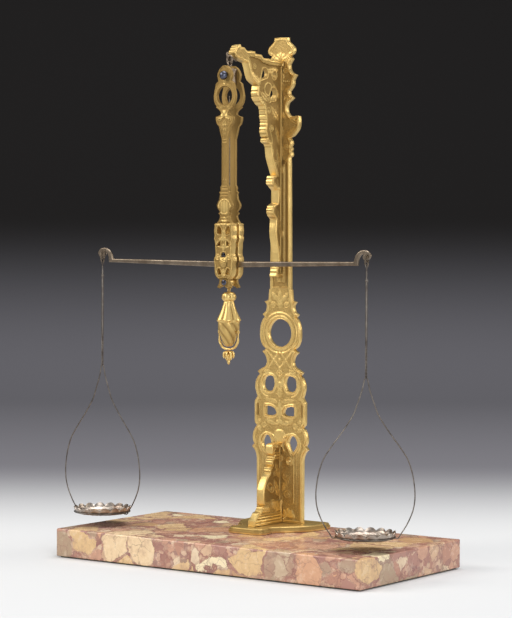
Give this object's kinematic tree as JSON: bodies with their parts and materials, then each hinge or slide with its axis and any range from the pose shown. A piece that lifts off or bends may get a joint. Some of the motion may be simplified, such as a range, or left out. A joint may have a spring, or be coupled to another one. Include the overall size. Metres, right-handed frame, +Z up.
{
  "type": "beam balance",
  "caption": "Ornate gilt apothecary balance: beam in pierced hanging shears, wire bows with shallow pans, pillar and bracket on a marble slab",
  "frame": {"origin": "middle of the flat underside of the baize sheet under the slab", "axes": "+X along the slab's long side to the right of the front view, +Y to the back where the pillar stands, +Z up"},
  "size_m": [0.4883, 0.215, 0.6301],
  "materials": {
    "baize": "thin dark felt",
    "marble": "polished breccia, cream and rose",
    "gilt_bronze": "chased and fire-gilt, matt grounds and burnished edges",
    "bright_steel": "aged bright steel",
    "blued_steel": "heat-blued",
    "dark_wire": "darkened drawn wire",
    "silver": "hammered silvered brass, lightly tarnished"
  },
  "bodies": {
    "stand": {"baize_sheet": "baize", "marble_slab": "marble", "foot_plate": "gilt_bronze", "base_screw_left": "bright_steel", "base_screw_right": "bright_steel", "base_screw_front": "bright_steel", "pillar_plate": "gilt_bronze", "pillar_screw_left": "bright_steel", "pillar_screw_right": "bright_steel", "upper_bracket": "gilt_bronze", "bracket_screw_top": "bright_steel", "bracket_screw_middle": "bright_steel", "bracket_screw_low": "bright_steel", "lower_gusset": "gilt_bronze", "gusset_screw_top": "bright_steel", "gusset_screw_low": "bright_steel", "bracket_hook": "bright_steel"},
    "link": {"suspension_link": "bright_steel"},
    "shears": {"shears_front_cheek": "gilt_bronze", "shears_rear_cheek": "gilt_bronze", "suspension_eye": "bright_steel", "top_bolt": "blued_steel", "top_nut": "blued_steel", "pendant_eye": "gilt_bronze", "low_bolt": "blued_steel", "low_nut": "blued_steel", "front_bearing": "blued_steel", "rear_bearing": "blued_steel"},
    "beam": {"beam_bar": "bright_steel", "knife_edge": "blued_steel", "tongue": "bright_steel", "left_end_pin": "bright_steel", "right_end_pin": "bright_steel"},
    "left_hook": {"left_end_hook": "bright_steel"},
    "right_hook": {"right_end_hook": "bright_steel"},
    "left_hanger": {"left_bow": "dark_wire", "left_pan_ring": "dark_wire"},
    "right_hanger": {"right_bow": "dark_wire", "right_pan_ring": "dark_wire"},
    "left_dish": {"left_pan": "silver"},
    "right_dish": {"right_pan": "silver"},
    "pendant": {"pendant_vase": "gilt_bronze"},
    "drop": {"drop_ring": "gilt_bronze", "leaf_drop": "gilt_bronze"}
  },
  "joints": [
    {"name": "link_swing", "type": "hinge", "parent": "stand", "child": "link", "pos_m": [-0.008, -0.0435, 0.598], "axis": [0, 1, 0], "range_deg": [-3, 3]},
    {"name": "shears_sway", "type": "hinge", "parent": "link", "child": "shears", "pos_m": [-0.008, -0.0435, 0.592], "axis": [1, 0, 0], "range_deg": [-8, 8]},
    {"name": "beam_tilt", "type": "hinge", "parent": "shears", "child": "beam", "pos_m": [-0.008, -0.0435, 0.3679], "axis": [0, 1, 0], "range_deg": [-3, 3]},
    {"name": "left_hook_swing", "type": "hinge", "parent": "beam", "child": "left_hook", "pos_m": [-0.2009, -0.0435, 0.3673], "axis": [0, 1, 0], "range_deg": [-20, 20]},
    {"name": "right_hook_swing", "type": "hinge", "parent": "beam", "child": "right_hook", "pos_m": [0.1849, -0.0435, 0.3673], "axis": [0, 1, 0], "range_deg": [-20, 20]},
    {"name": "left_bow_swing", "type": "hinge", "parent": "left_hook", "child": "left_hanger", "pos_m": [-0.2009, -0.0435, 0.3578], "axis": [1, 0, 0], "range_deg": [-20, 20]},
    {"name": "right_bow_swing", "type": "hinge", "parent": "right_hook", "child": "right_hanger", "pos_m": [0.1849, -0.0435, 0.3578], "axis": [1, 0, 0], "range_deg": [-20, 20]},
    {"name": "left_pan_lift", "type": "slide", "parent": "left_hanger", "child": "left_dish", "axis": [0, 0, 1], "range_m": [0, 0.06]},
    {"name": "right_pan_lift", "type": "slide", "parent": "right_hanger", "child": "right_dish", "axis": [0, 0, 1], "range_m": [0, 0.06]},
    {"name": "pendant_swing", "type": "hinge", "parent": "shears", "child": "pendant", "pos_m": [-0.008, -0.0435, 0.3271], "axis": [1, 0, 0], "range_deg": [-12, 12]},
    {"name": "drop_ring_swing", "type": "hinge", "parent": "pendant", "child": "drop", "pos_m": [-0.008, -0.0435, 0.2774], "axis": [1, 0, 0], "range_deg": [-30, 30]}
  ]
}
